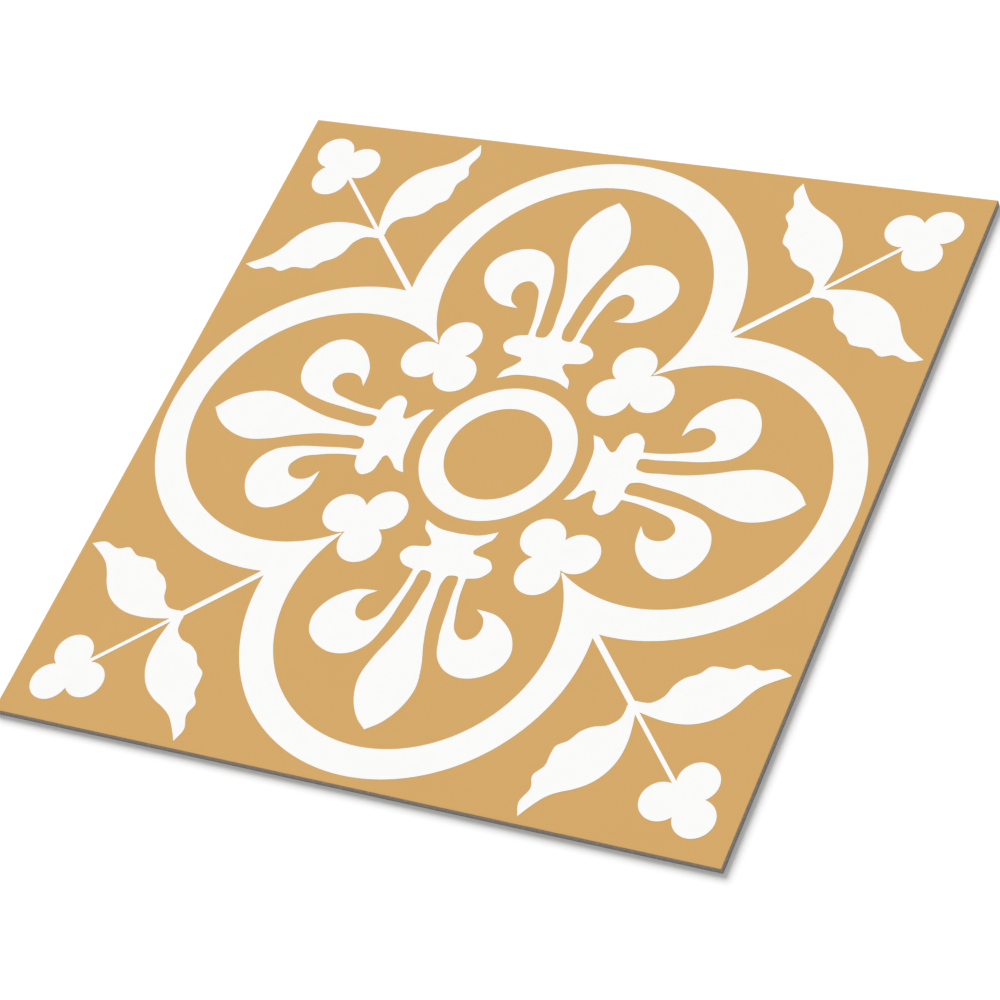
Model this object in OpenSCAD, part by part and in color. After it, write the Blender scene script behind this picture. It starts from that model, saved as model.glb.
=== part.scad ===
// Vinyl floor tile, twelve inches square, with a white quatrefoil figure on an ochre face.
// The tile lies face up. Z = 0 is its glued back and the origin is the middle of that back.

/* [Tile] */
// Length of each of the four cut sides
tile_side = 305; // [250:1:610]
// Thickness from the back to the ochre face
tile_thick = 3; // [2:0.1:5]
// Radius that the cutting die leaves along the four upper edges
edge_round = 0.2; // [0.1:0.05:0.5]
// Height of the white print above the ochre face
print_height = 0.05; // [0.02:0.01:0.2]

/* [Centre ring] */
// Outer diameter of the ring
ring_outer_d = 63.6; // [50:0.2:70]
// Width of the ring's band
ring_band = 10.1; // [4:0.1:16]

/* [Quatrefoil band] */
// Distance from the tile's middle to the middle of each outer circle
outer_reach = 77.8; // [70:0.1:80]
// Radius of the outer circles
outer_r = 70.6; // [64:0.1:72]
// Distance from the tile's middle to the middle of each inner circle
inner_reach = 78.9; // [72:0.1:82]
// Radius of the inner circles
inner_r = 56.6; // [50:0.1:60]
// Radius from the tile's middle at which the band's four inner points are blunted
blunt_r = 67; // [60:0.1:70]

/* [Fleur-de-lis] */
// Height from the middle of the foot to the tip
fleur_height = 89.8; // [70:0.1:92]
// Distance from the tile's middle to the middle of the foot
fleur_foot = 38.4; // [36:0.1:44]

/* [Inner trefoils] */
// Distance from the tile's middle to the middle of each trefoil
inner_trefoil_reach = 57.7; // [50:0.1:60]
// Distance from the trefoil's middle to the middle of a lobe
inner_lobe_reach = 9.8; // [7:0.1:11]
// Radius of a lobe
inner_lobe_r = 9; // [7:0.1:9.5]

/* [Corner sprigs] */
// Distance from the tile's middle to the middle of the corner trefoil
corner_trefoil_reach = 183.4; // [176:0.1:188]
// Distance from the corner trefoil's middle to the middle of a lobe
corner_lobe_reach = 8.6; // [7:0.1:10]
// Radius of a corner trefoil's lobe
corner_lobe_r = 8.1; // [6.5:0.1:9]
// Distance from the tile's middle to where the two leaves spring
leaf_node_reach = 137.9; // [130:0.1:144]
// Length of a leaf from its node to its tip
leaf_length = 57.7; // [45:0.1:60]
// Width of the stem below the leaves
stem_w = 2.6; // [1.5:0.1:4]
// Width of the thinner stem between the leaves and the trefoil
stalk_w = 1.7; // [1:0.1:3]

/* [Drawing] */
// Longest straight piece in a drawn curve
chord = 2.5; // [1.5:0.5:4]

/* [Hidden] */
ochre = "#D5AA6B";
white = "#FAFAF8";
// Depth that the print reaches below the face, so that the two are one solid
print_root = 0.5;
// The figure repeats in the tile's four quarters
quarters = 4;
quarter = 360 / quarters;
// Facets of the round outlines
$fn = 96;

// Right half of the fleur-de-lis, from the tip down to the foot, in four strokes that meet at
// sharp points. Each knot is (distance from the middle line, height above the foot).
middle_petal = [[0, 89.8], [4.9, 85.8], [10, 77.8], [12, 69], [10.3, 59.5], [6.9, 49.8],
    [4.2, 39.6], [3.1, 30], [2.7, 21.6], [3.6, 19.3], [5.8, 18.6], [7.9, 18.9],
    [8.4, 20.4], [8.7, 25], [9.8, 33.6], [11.9, 46.6], [15, 54.8], [19.8, 59.2],
    [27.3, 61], [34.9, 58.8], [40.8, 53.4], [42.3, 47.3], [40.1, 40.6], [34.9, 35],
    [29.5, 32], [25, 31.3], [21.2, 31.1]];
curl = [[21.2, 31.1], [25.4, 34.6], [26.6, 39.1], [25.1, 43.3], [21.3, 45], [16.9, 42.3],
    [13.9, 34.8], [11.9, 25.6], [11.3, 19]];
collar = [[11.3, 19], [16.9, 17.2], [19.6, 13.1], [17.4, 9.5], [12, 8.2], [9.6, 7.6],
    [9.1, 6.5], [9.8, 5.2], [11.8, 2.9], [14.4, 0.4], [15.6, -3.7]];
foot = [[15.6, -3.7], [9, -0.9], [0, 0]];

// A leaf, from its node up the smooth side to the tip and back down the wavy side. Each knot
// is measured from the node along the tile's two edges.
smooth_side = [[1, 1.4], [2.2, 7.5], [2.9, 14], [1.8, 23.5], [-3, 32], [-9.4, 36.9],
    [-13.5, 38.9], [-17.6, 41.6], [-22.6, 47.8], [-25.2, 51.9]];
wavy_side = [[-25.2, 51.9], [-27, 46.5], [-25, 39.5], [-26.4, 34.9], [-23.5, 29.9],
    [-23.3, 24.5], [-22.8, 21.5], [-19, 18.2], [-16, 13.5], [-12.6, 10.9],
    [-6.9, 8.8], [-3.5, 5], [-3, 1.5], [-2.9, -1.2], [-2, -2]];

// Direction of a smooth line at knot b, from its neighbours a and c by their distances
function heading(a, b, c) =
    let (before = norm(b - a), after = norm(c - b))
    before == 0 ? (c - b) / after :
    after == 0 ? (b - a) / before :
    (after * (b - a) / before + before * (c - b) / after) / (before + after);

// Point at the share t of the span from b to c, a cubic that leaves and arrives on its headings
function on_span(b, c, leave, arrive, t) =
    let (span = norm(c - b))
    b * (2 * pow(t, 3) - 3 * pow(t, 2) + 1) + leave * span * (pow(t, 3) - 2 * pow(t, 2) + t)
    + c * (3 * pow(t, 2) - 2 * pow(t, 3)) + arrive * span * (pow(t, 3) - pow(t, 2));

// Smooth line through the knots, without its last point
function stroke(knots, longest) = [
    for (i = [0 : len(knots) - 2])
        let (b = knots[i], c = knots[i + 1],
             leave = heading(knots[max(i - 1, 0)], b, c),
             arrive = heading(b, c, knots[min(i + 2, len(knots) - 1)]),
             steps = ceil(norm(c - b) / longest))
        for (s = [0 : steps - 1]) on_span(b, c, leave, arrive, s / steps)
];

// Centre ring
module ring() {
    difference() {
        circle(d = ring_outer_d);
        circle(d = ring_outer_d - 2 * ring_band);
    }
}

// Four equal circles, one on each side of the tile's middle
module four_circles(reach, r) {
    for (i = [1 : quarters])
        rotate(i * quarter) translate([0, reach]) circle(r);
}

// Band of four lobes that runs round the ring
module quatrefoil() {
    difference() {
        four_circles(outer_reach, outer_r);
        four_circles(inner_reach, inner_r);
        circle(blunt_r);
    }
}

// Three round lobes and a heart that fills the gap between them, with one lobe on +Y
module trefoil(lobe_reach, lobe_r) {
    lobes = 3;
    for (i = [1 : lobes])
        rotate(i * 360 / lobes) translate([0, lobe_reach]) circle(lobe_r);
    circle(lobe_r / 2);
}

// Right half of a fleur-de-lis that stands on the middle of its foot
module fleur_half() {
    size = fleur_height / middle_petal[0][1];
    polygon(size * concat(stroke(middle_petal, chord / size), stroke(curl, chord / size),
        stroke(collar, chord / size), stroke(foot, chord / size), [[0, 0]]));
}

module fleur() {
    translate([0, fleur_foot]) {
        fleur_half();
        mirror([1, 0]) fleur_half();
    }
}

// Leaf on the upper side of the stem, which runs along the diagonal
module leaf() {
    size = leaf_length / norm(wavy_side[0]);
    polygon(size * concat(stroke(smooth_side, chord / size), stroke(wavy_side, chord / size),
        [wavy_side[len(wavy_side) - 1]]));
}

// Stem, two leaves and trefoil that fill one corner; drawn on +Y and turned to the corner
module sprig() {
    diagonal = quarter / 2;
    cusp = outer_reach * cos(diagonal)
        + sqrt(pow(outer_r, 2) - pow(outer_reach * sin(diagonal), 2));
    stem_root = (outer_r - inner_r) / 2;
    translate([-stem_w / 2, cusp - stem_root])
        square([stem_w, leaf_node_reach - cusp + stem_root]);
    translate([-stalk_w / 2, leaf_node_reach])
        square([stalk_w, corner_trefoil_reach - leaf_node_reach]);
    translate([0, leaf_node_reach]) {
        rotate(diagonal) leaf();
        mirror([1, 0]) rotate(diagonal) leaf();
    }
    translate([0, corner_trefoil_reach]) trefoil(corner_lobe_reach, corner_lobe_r);
}

// The whole white figure, cut off at the flat of the face
module figure() {
    intersection() {
        union() {
            ring();
            quatrefoil();
            for (i = [1 : quarters]) rotate(i * quarter) {
                fleur();
                rotate(quarter / 2) {
                    translate([0, inner_trefoil_reach])
                        rotate(180) trefoil(inner_lobe_reach, inner_lobe_r);
                    sprig();
                }
            }
        }
        square(tile_side - 2 * edge_round, center = true);
    }
}

// Section across the slab, with its two upper corners rounded
module slab_section() {
    translate([-tile_side / 2, 0]) square([tile_side, tile_thick - edge_round]);
    translate([edge_round - tile_side / 2, 0]) square([tile_side - 2 * edge_round, tile_thick]);
    for (side = [-1, 1])
        translate([side * (tile_side / 2 - edge_round), tile_thick - edge_round])
            circle(edge_round);
}

// Square slab: the same section run both ways, so that the upper edges are round on all sides
module slab() {
    intersection() {
        rotate([90, 0, 0]) linear_extrude(tile_side, center = true) slab_section();
        rotate([90, 0, 90]) linear_extrude(tile_side, center = true) slab_section();
    }
}

module tile() {
    color(ochre) slab();
    color(white) translate([0, 0, tile_thick - print_root])
        linear_extrude(print_root + print_height) figure();
}

tile();
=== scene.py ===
from math import cos, pi, radians, sin

import bpy
import numpy as np
from mathutils import Matrix, Vector


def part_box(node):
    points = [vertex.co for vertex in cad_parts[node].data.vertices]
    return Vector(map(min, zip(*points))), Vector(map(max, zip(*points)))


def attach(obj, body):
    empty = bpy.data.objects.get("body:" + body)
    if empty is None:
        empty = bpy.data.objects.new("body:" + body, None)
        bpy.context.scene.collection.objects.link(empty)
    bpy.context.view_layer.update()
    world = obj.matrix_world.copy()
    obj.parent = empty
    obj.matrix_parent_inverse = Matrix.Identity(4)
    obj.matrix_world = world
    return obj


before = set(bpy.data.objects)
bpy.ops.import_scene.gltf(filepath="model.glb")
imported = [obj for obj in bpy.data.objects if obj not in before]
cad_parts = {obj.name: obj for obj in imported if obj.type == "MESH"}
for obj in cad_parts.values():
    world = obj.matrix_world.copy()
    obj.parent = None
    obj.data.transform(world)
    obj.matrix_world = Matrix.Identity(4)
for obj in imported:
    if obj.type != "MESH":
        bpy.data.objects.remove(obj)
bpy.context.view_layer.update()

# Slab
# The tile is a slab of PVC filled with ground limestone, rolled out hot and die-cut square.
# An ochre skin of unfilled PVC is laminated on its face and embossed with a fine grain by the
# last roll. The cut sides and the sanded back show the grey filled core.
mm = 0.001
print_height = 0.05 * mm
skin_thick = 0.1 * mm
face_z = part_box("tile")[1].z - print_height


def linear(code):
    """An sRGB hex colour as linear light, with alpha 1: each share s becomes s / 12.92 up to
    0.04045, and ((s + 0.055) / 1.055) to the power 2.4 above it."""
    share = np.array([int(code[i:i + 2], 16) for i in (1, 3, 5)]) / 255
    light = np.where(share <= 0.04045, share / 12.92, ((share + 0.055) / 1.055) ** 2.4)
    return (*light.tolist(), 1.0)


def feed(tree, node, inputs):
    """Gives inputs of a node, by name or by place, their values, or links to given outputs."""
    for socket, value in inputs.items():
        if isinstance(value, bpy.types.NodeSocket):
            tree.links.new(value, node.inputs[socket])
        else:
            node.inputs[socket].default_value = value


def add(tree, kind, inputs=(), **settings):
    """Adds a node. Settings are its own properties, and its inputs are fed."""
    node = tree.nodes.new("ShaderNode" + kind)
    for name, value in settings.items():
        setattr(node, name, value)
    feed(tree, node, dict(inputs))
    return node


def mixed(tree, kind, share, first, second):
    """Output that goes from the first to the second as the share goes from 0 to 1. The node has
    its own two inputs and output for each kind of value, found by their place."""
    first_in, second_in, out = {"FLOAT": (2, 3, 0), "VECTOR": (4, 5, 1), "RGBA": (6, 7, 2)}[kind]
    node = add(tree, "Mix", {0: share, first_in: first, second_in: second}, data_type=kind)
    return node.outputs[out]


def embossed_skin(tree, place, grain, height):
    """Normal of a skin pressed by an engraved roll: a pebble noise whose bumps are one grain
    apart and one height deep."""
    finer_pebbles = 1.5
    pebble = add(tree, "TexNoise", {"Vector": place, "Scale": 1 / grain,
                                    "Detail": finer_pebbles})
    return add(tree, "Bump", {"Height": pebble.outputs["Fac"], "Distance": height}).outputs[0]


def filled_pvc():
    """Calendered PVC tile stock. The ochre skin is satin and even, with a faint cloudiness from
    rolling. The core is a chalky mid-grey with pale specks of limestone, and its top just under
    the skin is painted darker, as shade on the cut sides. The die drew it into fine upright
    lines, and sanding left long lines on the back, drawn four times as wide as real ones so that
    they show."""
    ochre = "#CEA25F"
    ochre_cloud = "#D2A663"
    core_grey = "#A8A29B"
    # The darker grey serves both the die and sanding streaks and the painted shade under the
    # skin.
    core_streak_and_shade_grey = "#8C857E"
    limestone = "#C9C4B9"
    cloud = 45 * mm
    emboss = 0.9 * mm
    emboss_height = 0.006 * mm
    speck = 0.7 * mm
    speck_share = 0.30
    speck_rim = 0.1
    painted_shade_depth = 0.9 * mm
    die_line = 0.5 * mm
    sand_line = 2.4 * mm
    line_length = 600 * mm
    line_height = 0.03 * mm
    blend = 0.02 * mm
    cloud_detail = 3.0
    die_detail = 2.0
    sand_detail = 3.0
    core_roughness = 0.85
    skin_roughness = 0.5
    refraction = 1.53

    material = bpy.data.materials.new("calendered_filled_pvc")
    material.use_nodes = True
    tree = material.node_tree
    shader = tree.nodes["Principled BSDF"]
    place = add(tree, "TexCoord").outputs["Object"]
    height = add(tree, "SeparateXYZ", {0: place}).outputs["Z"]
    skin = add(tree, "MapRange", {"Value": height, "From Min": face_z - skin_thick - blend,
                                  "From Max": face_z - skin_thick + blend})
    lower = add(tree, "MapRange", {"Value": height, "From Min": 2 * blend, "From Max": blend})

    clouds = add(tree, "TexNoise", {"Vector": place, "Scale": 1 / cloud,
                                    "Detail": cloud_detail})
    face = mixed(tree, "RGBA", clouds.outputs["Fac"], linear(ochre), linear(ochre_cloud))

    upright = add(tree, "Mapping", {"Vector": place, "Scale": (1, 1, die_line / line_length)})
    lengthways = add(tree, "Mapping", {"Vector": place, "Scale": (sand_line / line_length, 1, 1)})
    cut = add(tree, "TexNoise", {"Vector": upright.outputs[0], "Scale": 1 / die_line,
                                 "Detail": die_detail})
    sanding = add(tree, "TexNoise", {"Vector": lengthways.outputs[0], "Scale": 1 / sand_line,
                                     "Detail": sand_detail})
    lines = mixed(tree, "FLOAT", lower.outputs[0], cut.outputs["Fac"], sanding.outputs["Fac"])
    # Painted shade: over its top 0.9 mm the core turns to the darker grey, up to the skin.
    out_of_painted_shade = add(tree, "MapRange", {"Value": height, "From Min": face_z - painted_shade_depth,
                                   "From Max": face_z - skin_thick, "To Min": 1, "To Max": 0})
    pale = add(tree, "Math", {0: lines, 1: out_of_painted_shade.outputs[0]}, operation="MULTIPLY")
    streaks_and_shade = mixed(tree, "RGBA", pale.outputs[0], linear(core_streak_and_shade_grey), linear(core_grey))
    grains = add(tree, "TexVoronoi", {"Vector": place, "Scale": 1 / speck})
    speckled = add(tree, "MapRange", {"Value": grains.outputs["Distance"],
                                      "From Min": speck_share,
                                      "From Max": speck_share - speck_rim})
    core = mixed(tree, "RGBA", speckled.outputs[0], streaks_and_shade, linear(limestone))
    colour = mixed(tree, "RGBA", skin.outputs[0], core, face)
    roughness = add(tree, "MapRange", {"Value": skin.outputs[0], "To Min": core_roughness,
                                       "To Max": skin_roughness})

    grain = embossed_skin(tree, place, emboss, emboss_height)
    scored = add(tree, "Bump", {"Height": lines, "Distance": line_height})
    normal = mixed(tree, "VECTOR", skin.outputs[0], scored.outputs[0], grain)
    feed(tree, shader, {"Base Color": colour, "Roughness": roughness.outputs[0],
                        "Normal": normal, "IOR": refraction})
    return material


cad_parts["tile"].data.materials.clear()
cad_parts["tile"].data.materials.append(filled_pvc())

# Centre ring
# The figure is one coat of opaque white ink, squeezed through a screen on the ochre skin, and
# it dries as a film with sharp edges. The middle of the figure is a plain ring.
ring_outer_r = 31.8
ring_inner_r = 21.7
film_top = 0.07 * mm
film_foot = 0.01 * mm
weld = 0.001
two_triangles = [0, 1, 2, 0, 2, 3]
steps_round = 1440


def screen_ink():
    """Opaque white screen ink on embossed vinyl. It is matt beside the skin, and it has a
    faint orange peel where the screen lifted."""
    white = "#FCFCFB"
    thin_white = "#F9F9F6"
    coat = 6 * mm
    peel = 0.7 * mm
    peel_height = 0.005 * mm
    cover_detail = 4.0
    thin_roughness = 0.62
    full_roughness = 0.5
    refraction = 1.5

    material = bpy.data.materials.new("white_screen_ink")
    material.use_nodes = True
    tree = material.node_tree
    shader = tree.nodes["Principled BSDF"]
    place = add(tree, "TexCoord").outputs["Object"]
    cover = add(tree, "TexNoise", {"Vector": place, "Scale": 1 / coat, "Detail": cover_detail})
    colour = mixed(tree, "RGBA", cover.outputs["Fac"], linear(thin_white), linear(white))
    roughness = add(tree, "MapRange", {"Value": cover.outputs["Fac"], "To Min": thin_roughness,
                                       "To Max": full_roughness})
    feed(tree, shader, {"Base Color": colour, "Roughness": roughness.outputs[0],
                        "Normal": embossed_skin(tree, place, peel, peel_height),
                        "IOR": refraction})
    return material


ink = screen_ink()


def polar(radius_in, radius_out, angles):
    """Grid of points between two outlines drawn round a middle: at each angle one point on the
    inner radius and one on the outer, so that the two parameters are the angle and the side."""
    around = np.stack([np.sin(angles), np.cos(angles)], axis=-1)
    return np.stack([around * radius_in[:, None], around * radius_out[:, None]], axis=1)


def shell(grids, lift=0.0):
    """Closed film over grids that share their edges, drawn in millimetres. Each cell gives two
    triangles that face up, and those without area are left out. A rim edge is one that only a
    single triangle has, and a wall goes down from each rim edge."""
    points = np.vstack([grid.reshape(-1, 2) for grid in grids])
    cells = []
    start = 0
    for grid in grids:
        index = start + np.arange(grid[..., 0].size).reshape(grid.shape[:2])
        cells.append(np.stack([index[:-1, :-1], index[1:, :-1], index[1:, 1:], index[:-1, 1:]],
                              axis=-1).reshape(-1, 4))
        start += index.size
    triangles = np.vstack(cells)[:, two_triangles].reshape(-1, 3)
    first, same = np.unique(np.round(points / weld).astype(int), axis=0, return_index=True,
                            return_inverse=True)[1:]
    points = points[first]
    triangles = same.reshape(-1)[triangles]
    a, b, c = np.moveaxis(points[triangles], 1, 0)
    area = (b - a)[:, 0] * (c - a)[:, 1] - (b - a)[:, 1] * (c - a)[:, 0]
    triangles[area < 0] = triangles[area < 0][:, ::-1]
    triangles = triangles[np.abs(area) > weld ** 2]
    count = len(points)
    edges = triangles[:, [0, 1, 1, 2, 2, 0]].reshape(-1, 2)
    rim = edges[~np.isin(edges @ [count, 1], edges @ [1, count])]
    walls = np.stack([rim[:, 0], rim[:, 0] + count, rim[:, 1] + count, rim[:, 1]], axis=-1)
    top = np.column_stack([points * mm, np.full(count, face_z + film_top + lift)])
    foot = np.column_stack([points * mm, np.full(count, face_z - film_foot)])
    faces = [triangles, triangles[:, ::-1] + count, walls[:, two_triangles].reshape(-1, 3)]
    return np.vstack([top, foot]), np.vstack(faces)


def printed(name, shells, turn=0.0):
    """One piece of the figure: its shells in a single mesh, turned about the tile's middle."""
    points, faces = zip(*shells)
    starts = np.cumsum([0, *map(len, points)])
    joined = np.vstack([own + start for own, start in zip(faces, starts)])
    turned = np.vstack(points) @ np.array(Matrix.Rotation(-turn, 3, "Z"))
    mesh = bpy.data.meshes.new(name)
    mesh.from_pydata(turned.tolist(), [], joined.tolist())
    mesh.materials.append(ink)
    piece = bpy.data.objects.new(name, mesh)
    bpy.context.scene.collection.objects.link(piece)
    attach(piece, "root")


full_turn = np.linspace(0, 2 * pi, steps_round + 1)
ring = polar(np.full(full_turn.size, ring_inner_r), np.full(full_turn.size, ring_outer_r),
             full_turn)
printed("print_ring", [shell([ring])])

# Quatrefoil band
# A band of four round lobes runs round the ring in the same coat of ink. Both its edges are
# arcs of four equal circles, and its four inner points are blunted.
outer_reach = 77.8
outer_r = 70.6
inner_reach = 78.9
inner_r = 56.6
blunt_r = 67.0
quarters = 4
quarter = 2 * pi / quarters


def far_side(reach, r, angle):
    """Distance from the middle to the far side of a circle of radius r whose own middle is at
    this reach, at an angle from it: reach times the cosine, plus the half chord there."""
    half_chord = np.sqrt(np.maximum(r ** 2 - (reach * np.sin(angle)) ** 2, 0))
    return reach * np.cos(angle) + half_chord


from_lobe = (full_turn + quarter / 2) % quarter - quarter / 2
band = polar(np.maximum(far_side(inner_reach, inner_r, from_lobe), blunt_r),
             far_side(outer_reach, outer_r, from_lobe), full_turn)
printed("print_quatrefoil", [shell([band])])

# Fleurs-de-lis
# One flower stands in each lobe of the band with its foot towards the ring. Its middle petal and
# two curled side petals spring from a collar, and the spread foot is hollowed below.
fleur_foot = 38.4
middle_petal = [(0, 89.8), (4.9, 85.8), (10, 77.8), (12, 69), (10.3, 59.5), (6.9, 49.8),
                (4.2, 39.6), (3.1, 30), (2.7, 21.6), (3.6, 19.3)]
petal_gap = (5.8, 18.6)
side_petal = [(7.9, 18.9), (8.4, 20.4), (8.7, 25), (9.8, 33.6), (11.9, 46.6), (15, 54.8),
              (19.8, 59.2), (27.3, 61), (34.9, 58.8), (40.8, 53.4), (42.3, 47.3), (40.1, 40.6),
              (34.9, 35), (29.5, 32), (25, 31.3), (21.2, 31.1)]
curl = [(11.3, 19), (11.9, 25.6), (13.9, 34.8), (16.9, 42.3), (21.3, 45), (25.1, 43.3),
        (26.6, 39.1), (25.4, 34.6), (21.2, 31.1)]
waist = (9.1, 6.5)
collar = [(11.3, 19), (16.9, 17.2), (19.6, 13.1), (17.4, 9.5), (12, 8.2), (9.6, 7.6), waist,
          (9.8, 5.2), (11.8, 2.9), (14.4, 0.4), (15.6, -3.7)]
foot = [(15.6, -3.7), (9, -0.9), (0, 0)]
steps_per_span = 8
share_digits = 9


def stroke(knots):
    """Smooth line through the knots. Each span is a cubic that leaves and arrives on headings
    found from the neighbouring spans, each weighted by the length of the other."""
    knots = np.array(knots, float)
    length = np.linalg.norm(np.diff(knots, axis=0), axis=1, keepdims=True)
    slope = np.diff(knots, axis=0) / length
    inner = (length[1:] * slope[:-1] + length[:-1] * slope[1:]) / (length[1:] + length[:-1])
    heading = np.vstack([slope[:1], inner, slope[-1:]])
    t = np.linspace(0, 1, steps_per_span, endpoint=False)[:, None]
    start, end = knots[:-1, None], knots[1:, None]
    leave, arrive = (heading[:-1] * length)[:, None], (heading[1:] * length)[:, None]
    line = (start * (2 * t ** 3 - 3 * t ** 2 + 1) + leave * (t ** 3 - 2 * t ** 2 + t)
            + end * (3 * t ** 2 - 2 * t ** 3) + arrive * (t ** 3 - t ** 2))
    return np.vstack([line.reshape(-1, 2), knots[-1:]])


def shares(line):
    """Share of the line's length at each of its points, rounded so that like shares are equal."""
    steps = np.linalg.norm(np.diff(line, axis=0), axis=1)
    way = np.concatenate([[0], np.cumsum(steps)])
    return np.round(way / max(steps.sum(), weld), share_digits)


def along(line, at):
    """Points at these shares of the line's length."""
    own = shares(line)
    return np.stack([np.interp(at, own, line[:, 0]), np.interp(at, own, line[:, 1])], axis=-1)


def patch(left, right, first, last):
    """Grid inside four lines: straight rungs between the two sides, plus straight rungs between
    the two ends, less the patch that is straight between the four corners."""
    v = np.union1d(shares(left), shares(right))
    u = np.union1d(shares(first), shares(last))
    sides = [line[:, None] for line in (along(left, v), along(right, v))]
    ends = [line[None] for line in (along(first, u), along(last, u))]
    v, u = v[:, None, None], u[None, :, None]
    corners = ((1 - v) * ((1 - u) * first[0] + u * first[-1])
               + v * ((1 - u) * last[0] + u * last[-1]))
    return (1 - u) * sides[0] + u * sides[1] + (1 - v) * ends[0] + v * ends[1] - corners


mirror = np.array([-1, 1])
petals_side = stroke([*middle_petal, petal_gap, *side_petal])
curl_side = stroke(curl)
collar_side = stroke(collar)
foot_side = stroke(foot)
gap_start = steps_per_span * len(middle_petal)
gap_end = gap_start + steps_per_span
waist_point = steps_per_span * collar.index(waist)
neck_side = np.vstack([petals_side[gap_start:gap_end + 1], collar[:1]])
neck = np.vstack([neck_side[::-1] * mirror, neck_side])
foot_line = np.vstack([foot_side * mirror, foot_side[-2::-1]])
hem = along(foot_line, np.union1d(shares(foot_line), shares(neck)))
skirt_side = collar_side[waist_point:]
skirt = patch(skirt_side * mirror, skirt_side, np.array([waist * mirror, waist]), hem)
clasp_side = collar_side[:waist_point + 1]
clasp = patch(clasp_side * mirror, clasp_side, neck, skirt[0])
middle_foot = clasp[0][np.abs(clasp[0, :, 0]) < petal_gap[0] + weld]
side_foot = clasp[0][clasp[0, :, 0] > side_petal[0][0] - weld]
middle_side = petals_side[:gap_start + 1]
middle = patch(middle_side * mirror, middle_side, middle_side[[0, 0]], middle_foot)
side = patch(petals_side[gap_end:], curl_side, side_foot, curl_side[[-1, -1]])
fleur = [grid + (0, fleur_foot) for grid in (clasp, skirt, middle, side, side * mirror)]
for i in range(quarters):
    printed(f"print_fleur_{i + 1}", [shell(fleur)], i * quarter)

# Inner trefoils
# A three-lobed leaf fills each corner between the ring and the points of the band, in the same
# coat of ink. One of its lobes points to the tile's middle.
inner_trefoil_reach = 57.7
inner_lobe_reach = 9.8
inner_lobe_r = 9.0
diagonal = quarter / 2


def trefoil(lobe_reach, lobe_r, points_to):
    """Grid from the middle of three round lobes out to the far side of the nearest lobe."""
    third = 2 * pi / 3
    from_tip = (full_turn - points_to + third / 2) % third - third / 2
    edge = np.maximum(far_side(lobe_reach, lobe_r, from_tip), lobe_r / 2)
    return polar(0 * edge, edge, full_turn)


inner = trefoil(inner_lobe_reach, inner_lobe_r, pi) + (0, inner_trefoil_reach)
for i in range(quarters):
    printed(f"print_trefoil_{i + 1}", [shell([inner])], i * quarter + diagonal)

# Corner sprigs
# A stem grows out of each outer point of the band to a pair of leaves, and a thinner stalk runs
# on to a trefoil in the tile's corner. Where two strokes of the drawing cross, the ink is one
# coat. Here each stroke is a film of its own, a hair above the last, so that no faces coincide.
corner_trefoil_reach = 183.4
corner_lobe_reach = 8.6
corner_lobe_r = 8.1
leaf_node_reach = 137.9
stem_w = 2.6
stalk_w = 1.7
smooth_side = [(1, 1.4), (2.2, 7.5), (2.9, 14), (1.8, 23.5), (-3, 32), (-9.4, 36.9),
               (-13.5, 38.9), (-17.6, 41.6), (-22.6, 47.8), (-25.2, 51.9)]
wavy_side = [(-2, -2), (-2.9, -1.2), (-3, 1.5), (-3.5, 5), (-6.9, 8.8), (-12.6, 10.9),
             (-16, 13.5), (-19, 18.2), (-22.8, 21.5), (-23.3, 24.5), (-23.5, 29.9), (-26.4, 34.9),
             (-25, 39.5), (-27, 46.5), (-25.2, 51.9)]
hair = 0.002 * mm


def bar(width, start, end):
    """Grid of a straight stroke up the middle line, one cell long and one wide."""
    x = np.array([-width / 2, width / 2])
    return np.stack(np.broadcast_arrays(x[None], np.array([start, end])[:, None]), axis=-1)


cusp = far_side(outer_reach, outer_r, diagonal)
stem = bar(stem_w, cusp - (outer_r - inner_r) / 2, leaf_node_reach)
stalk = bar(stalk_w, leaf_node_reach, corner_trefoil_reach)
smooth_edge = stroke(smooth_side)
wavy_edge = stroke(wavy_side)
to_middle_line = np.array([(cos(diagonal), sin(diagonal)), (-sin(diagonal), cos(diagonal))])
leaf = patch(wavy_edge, smooth_edge, np.array([wavy_edge[0], smooth_edge[0]]),
             wavy_edge[[-1, -1]]) @ to_middle_line
leaf_node = np.array([0, leaf_node_reach])
corner = trefoil(corner_lobe_reach, corner_lobe_r, 0) + (0, corner_trefoil_reach)
strokes = [stem, stalk, leaf + leaf_node, leaf * mirror + leaf_node, corner]
for i in range(quarters):
    sprig = [shell([grid], coat * hair) for coat, grid in enumerate(strokes, start=1)]
    printed(f"print_sprig_{i + 1}", sprig, i * quarter + diagonal)

# Floor and light
# The tile lies face up on a white floor that runs out of sight. A wide soft lamp stands across
# it from the camera, low enough for a thin tile to throw a shadow, and the sky fills the rest.
floor_half = 4.0
floor_white = 0.9
floor_shown = 1.02
light_level = 1.0
sky_share = 0.34
lamp_height = radians(37.5)
lamp_turn = radians(48)
lamp_spread = radians(35)


def seen_directly(tree):
    """1 for what the camera, a reflection or a clear body shows, and 0 for light on a surface."""
    path = add(tree, "LightPath").outputs
    either = add(tree, "Math", {0: path["Is Camera Ray"], 1: path["Is Glossy Ray"]},
                 operation="MAXIMUM").outputs[0]
    return add(tree, "Math", {0: either, 1: path["Is Transmission Ray"]},
               operation="MAXIMUM").outputs[0]


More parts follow.
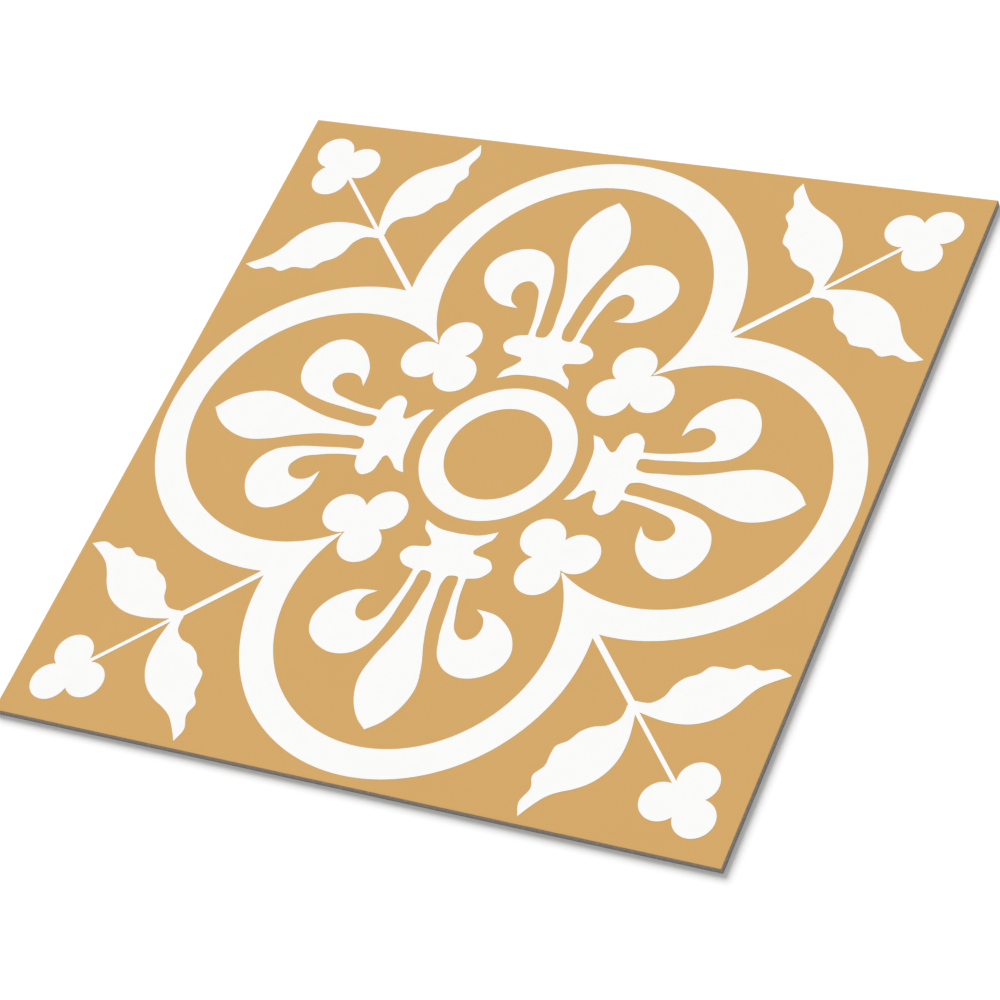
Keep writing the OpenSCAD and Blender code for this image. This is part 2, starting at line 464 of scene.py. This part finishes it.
def matt_floor():
    """White paper. To the camera it glows by what its own white lacks, so that it is white in
    full light and still shows every shadow."""
    material = bpy.data.materials.new("white_paper")
    material.use_nodes = True
    tree = material.node_tree
    tree.nodes.clear()
    paper = add(tree, "BsdfDiffuse", {"Color": (floor_white, floor_white, floor_white, 1)})
    lack = add(tree, "Math", {0: seen_directly(tree),
                              1: floor_shown - floor_white * light_level}, operation="MULTIPLY")
    glow = add(tree, "Emission", {"Strength": lack.outputs[0]})
    both = add(tree, "AddShader", {0: paper.outputs[0], 1: glow.outputs[0]})
    add(tree, "OutputMaterial", {"Surface": both.outputs[0]})
    return material


floor_mesh = bpy.data.meshes.new("floor")
floor_corners = floor_half * np.array([(-1, -1, 0), (1, -1, 0), (1, 1, 0), (-1, 1, 0)])
floor_mesh.from_pydata(floor_corners.tolist(), [], [(0, 1, 2, 3)])
floor_mesh.materials.append(matt_floor())
floor = bpy.data.objects.new("floor", floor_mesh)
bpy.context.scene.collection.objects.link(floor)

sky = bpy.data.worlds.new("sky")
sky.use_nodes = True
sky_strength = add(sky.node_tree, "MapRange", {"Value": seen_directly(sky.node_tree),
                                               "To Min": sky_share, "To Max": 1.0})
feed(sky.node_tree, sky.node_tree.nodes["Background"], {"Color": (1, 1, 1, 1),
                                                        "Strength": sky_strength.outputs[0]})
bpy.context.scene.world = sky

lamp_data = bpy.data.lights.new("soft_lamp", "SUN")
lamp_data.angle = lamp_spread
lamp_data.energy = pi * (light_level - sky_share) / sin(lamp_height)
lamp = bpy.data.objects.new("soft_lamp", lamp_data)
lamp.visible_glossy = False
lamp.rotation_euler = (pi / 2 - lamp_height, 0, lamp_turn + pi)
bpy.context.scene.collection.objects.link(lamp)

# Camera
# It looks down on the tile from the front right, rolled about its own line of sight as the
# photograph is, with a long lens and no shift.
azimuth = radians(43.102)
elevation = radians(48.969)
roll = radians(-25.455)
lens = 122.91
distance = 1293.3 * mm
aim = Vector((9.75 * mm, -20.4 * mm, face_z))
camera_data = bpy.data.cameras.new("camera")
camera_data.lens = lens
camera = bpy.data.objects.new("camera", camera_data)
turned = Matrix.Rotation(azimuth, 4, "Z") @ Matrix.Rotation(pi / 2 - elevation, 4, "X")
camera.matrix_world = (Matrix.Translation(aim) @ turned @ Matrix.Rotation(roll, 4, "Z")
                       @ Matrix.Translation((0, 0, distance)))
bpy.context.scene.collection.objects.link(camera)
bpy.context.scene.camera = camera
bpy.context.scene.view_settings.view_transform = "Standard"
